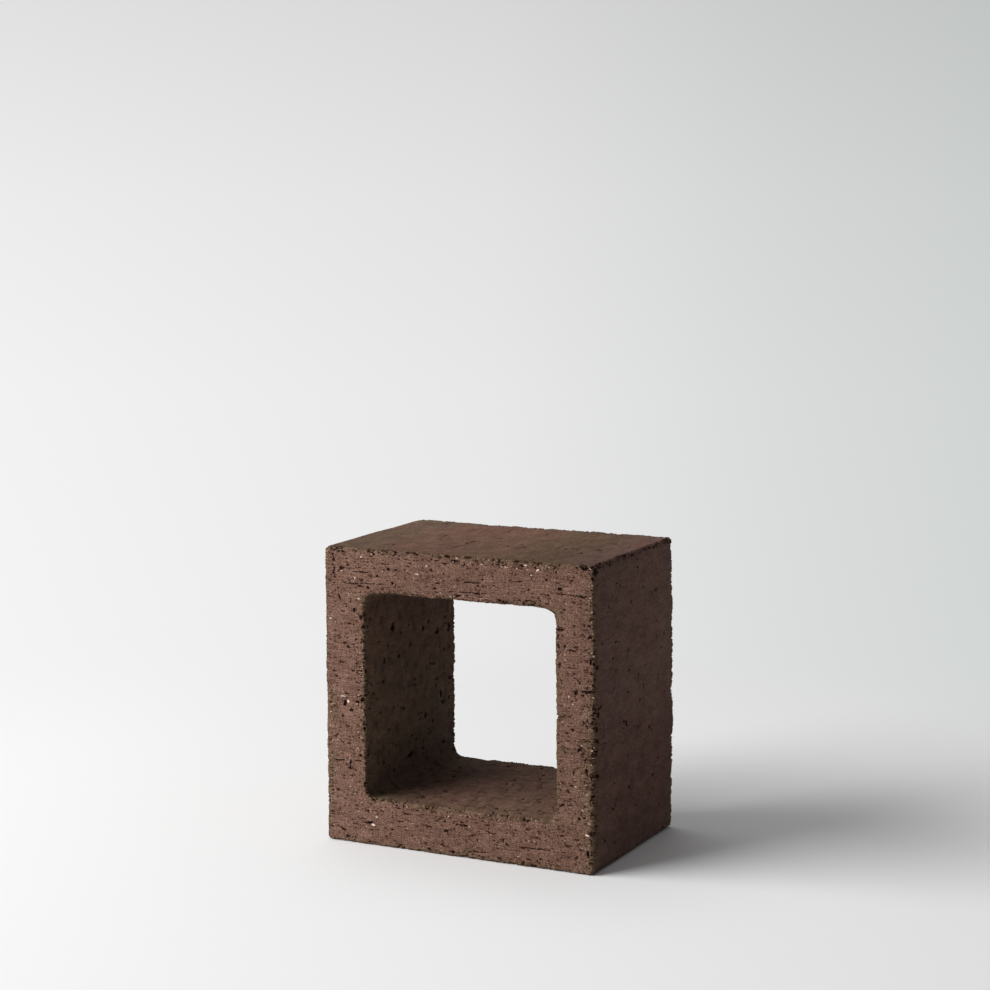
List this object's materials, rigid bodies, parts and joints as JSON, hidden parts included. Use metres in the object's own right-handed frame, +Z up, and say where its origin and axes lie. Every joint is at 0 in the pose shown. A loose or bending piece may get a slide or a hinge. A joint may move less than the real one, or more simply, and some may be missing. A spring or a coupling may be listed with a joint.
{
  "type": "clay screen block",
  "caption": "Thick square fired clay frame around one large rounded opening, stacked and bedded in mortar to make an open screen wall.",
  "frame": {"origin": "centre of the bed face, which lies on the floor", "axes": "+Z up, +X along the width, +Y along the opening from the front cut face to the back one"},
  "size_m": [0.19, 0.122, 0.192],
  "materials": {
    "fired_clay": "matt"
  },
  "bodies": {
    "root": {"screen_block": "fired_clay"}
  },
  "joints": []
}
